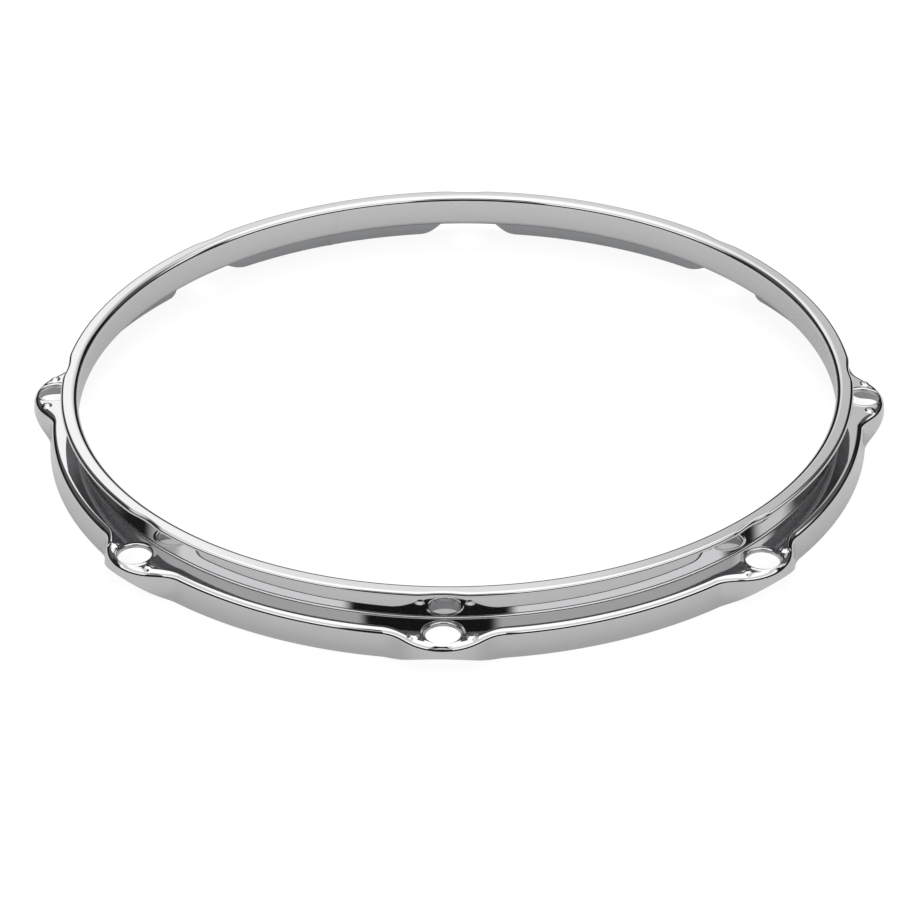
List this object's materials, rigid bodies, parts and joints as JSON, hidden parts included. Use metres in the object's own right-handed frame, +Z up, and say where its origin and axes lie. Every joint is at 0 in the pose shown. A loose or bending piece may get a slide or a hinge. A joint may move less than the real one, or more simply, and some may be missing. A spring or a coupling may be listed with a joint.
{
  "type": "drum hoop",
  "caption": "Pressed steel triple-flange counter hoop that holds a head on a 14 inch drum, with scalloped ears for the tension rods, chrome plated.",
  "frame": {"origin": "on the hoop's axis, level with the bottom edge of its skirt", "axes": "+Z up through the hoop towards the top flange, which the player strikes; ear 1 faces -Y"},
  "size_m": [0.4098, 0.4098, 0.0286],
  "materials": {
    "chrome": "bright chrome plate on polished pressed steel",
    "plated_weld": "chrome plate over a ground weld, a little less smooth"
  },
  "bodies": {
    "root": {"ear_1": "chrome", "ear_2": "chrome", "ear_3": "chrome", "ear_4": "chrome", "ear_5": "chrome", "ear_6": "chrome", "ear_7": "chrome", "ear_8": "chrome", "span_1_2": "chrome", "span_2_3": "chrome", "span_3_4": "chrome", "span_4_5": "chrome", "strip_end_5": "chrome", "butt_weld": "plated_weld", "strip_end_6": "chrome", "span_6_7": "chrome", "span_7_8": "chrome", "span_8_1": "chrome"}
  },
  "joints": []
}
